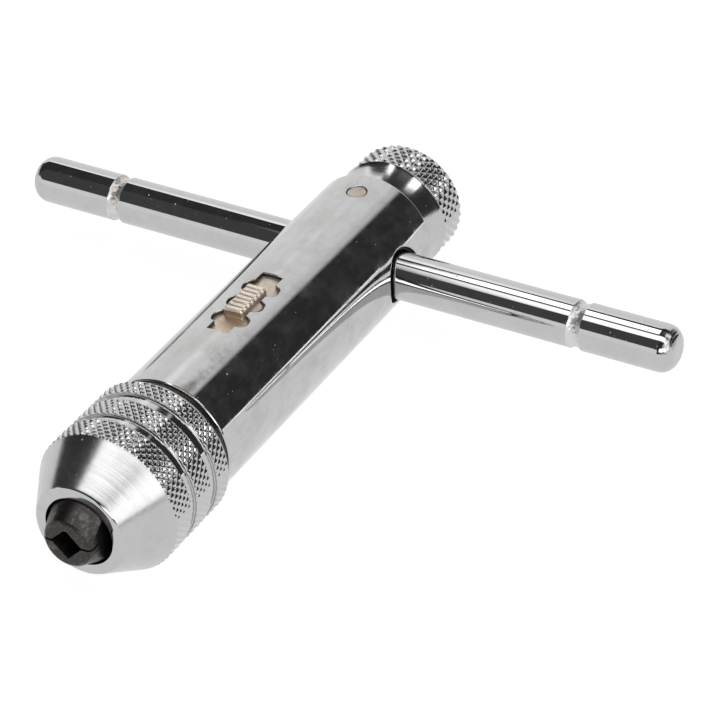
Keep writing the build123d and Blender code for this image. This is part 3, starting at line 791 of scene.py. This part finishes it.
def card(name, corners, material):
    """A flat or curved card from a grid of corners; the camera doesn't see it."""
    rows, columns = len(corners), len(corners[0])
    flat = [tuple(corner) for row in corners for corner in row]
    faces = [(r * columns + c, r * columns + c + 1, (r + 1) * columns + c + 1, (r + 1) * columns + c)
             for r in range(rows - 1) for c in range(columns - 1)]
    mesh = bpy.data.meshes.new(name)
    mesh.from_pydata(flat, [], faces)
    uv = mesh.uv_layers.new(name="card")
    for face in mesh.polygons:
        for loop, vertex in zip(face.loop_indices, face.vertices):
            uv.data[loop].uv = (vertex % columns / (columns - 1), vertex // columns / (rows - 1))
    mesh.materials.append(material)
    made = linked(name, mesh)
    made.visible_camera = False


def screen(name, bearing, height, distance, material):
    """A curved screen around the object, between two bearings and two heights in degrees.
    A bearing is measured from +Y towards +X. The upper height may be a list of (bearing,
    height) places."""
    low, high = height
    rows = []
    for share in np.linspace(0, 1, 13):
        row = []
        for turn in np.linspace(*bearing, 41):
            top = high if isinstance(high, (int, float)) else np.interp(turn, *zip(*high))
            a, e = math.radians(turn), math.radians(low + share * (top - low))
            row.append(CENTRE + distance * Vector((math.sin(a) * math.cos(e),
                                                   math.cos(a) * math.cos(e), math.sin(e))))
        rows.append(row)
    card(name, rows, material)


def ceiling_card(name, across, along, material):
    """A flat card a metre above the floor, between two distances from the tool each way."""
    corners = [[(x, BAR_Y + y, 1.0) for x in across] for y in along]
    card(name, corners, material)


WALL = 0.035
HARD = (0.0, 0.0, 0.0, 0.0)
wall_paint = glow("studio_wall", WALL, WALL, HARD)
screen("left_wall", (-110, 0), (8, 90), 2.4, wall_paint)
screen("back_right_wall", (0, 130), (1, 90), 2.4, wall_paint)
screen("front_right_wall", (130, 180), (1, 90), 2.4, wall_paint)
screen("front_left_wall", (180, 250), (19, 90), 2.4, glow("dim_wall", 0.07, 0.07, HARD))
screen("horizon_strip", (26, 62), (-0.4, 1.2), 2.3, glow("horizon_light", 1.6, 1.6, HARD))
BACKDROP_TOP = ((-64, 22), (-53, 33), (-46, 44), (-41, 52.5), (-28, 50), (22, 49))
screen("white_backdrop", (-64, 21), (-3, BACKDROP_TOP), 1.6,
       glow("backdrop_light", 0.97, WALL, (0.06, 0.09, 0.0, 0.025), crown=0.5))
screen("front_strip", (120, 168), (10, 26), 1.5,
       glow("front_strip_light", 4.0, WALL, (0.05, 0.1, 0.1, 0.1)))
screen("side_softbox", (94, 126), (5, 50), 1.4,
       glow("side_softbox_light", 1.9, WALL, (0.08, 0.08, 0.02, 0.1)))
ceiling_card("overhead_left", (-0.48, -0.24), (0.0, 0.50),
             glow("overhead_left_light", 2.9, WALL, (0.28, 0.3, 0.16, 0.10)))
ceiling_card("overhead_middle", (-0.14, 0.36), (0.02, 0.50),
             glow("overhead_middle_light", 0.15, WALL, (0.4, 0.3, 0.35, 0.35)))
ceiling_card("overhead_right", (0.36, 0.80), (0.02, 0.52),
             glow("overhead_right_light", 2.6, WALL, (0.12, 0.12, 0.16, 0.10)))
ceiling_card("overhead_front", (-0.54, 0.95), (-0.55, -0.06),
             glow("overhead_front_light", 2.0, WALL, (0.12, 0.08, 0.16, 0.14)))


def rays(f):
    """1 on rays from the camera, and 1 on mirrored and transmitted ones."""
    mirrored = f.node("LightPath", output="Is Glossy Ray")
    passed = f.node("LightPath", output="Is Transmission Ray")
    return f.node("LightPath", output="Is Camera Ray"), mirrored.most(passed)


def white_floor():
    """Pale paper that looks white in the picture and in the plating, and keeps the shadow."""
    material, f = finish_named("white_floor")
    seen, reflected = rays(f)
    paper = f.node("BsdfDiffuse", None, {"Color": (0.24, 0.24, 0.24)})
    white = f.node("Emission", None, {"Color": (1.0, 1.0, 1.0),
                                      "Strength": 0.90 * seen + 0.78 * reflected})
    both = f.node("AddShader", None, {0: paper, 1: white})
    f.node("OutputMaterial", None, {"Surface": both})
    return material


FLOOR_REACH = 4.0
floor_mesh = bpy.data.meshes.new("studio_floor")
floor_mesh.from_pydata([(-FLOOR_REACH, -FLOOR_REACH, 0), (FLOOR_REACH, -FLOOR_REACH, 0),
                        (FLOOR_REACH, FLOOR_REACH, 0), (-FLOOR_REACH, FLOOR_REACH, 0)],
                       [], [(0, 1, 2, 3)])
floor_mesh.materials.append(white_floor())
linked("studio_floor", floor_mesh)

world = bpy.data.worlds.new("studio_air")
scene.world = world
world.use_nodes = True
f = Finish(world.node_tree)
seen, reflected = rays(f)
air = f.node("Background", None, {"Color": (1.0, 1.0, 1.0),
                                  "Strength": 0.4 + 0.6 * seen.most(reflected)})
f.node("OutputWorld", None, {"Surface": air})

# ---------------------------------------------------------------- camera

camera_data = bpy.data.cameras.new("studio_camera")
camera = linked("studio_camera", camera_data)
camera_data.sensor_width = 36.0
camera_data.lens = 177.7
ROLL = -2.738
eye = Vector((0.20574, -0.31802, 0.27389))
aim = Vector((0.01306, 0.00564, AXIS_HEIGHT))
camera.location = eye
turn_to_aim = (aim - eye).to_track_quat("-Z", "Y")
roll = Matrix.Rotation(math.radians(ROLL), 3, "Z").to_quaternion()
camera.rotation_mode = "QUATERNION"
camera.rotation_quaternion = turn_to_aim @ roll
camera_data.clip_start = 0.01
camera_data.clip_end = 20.0
scene.camera = camera
scene.view_settings.view_transform = "Standard"
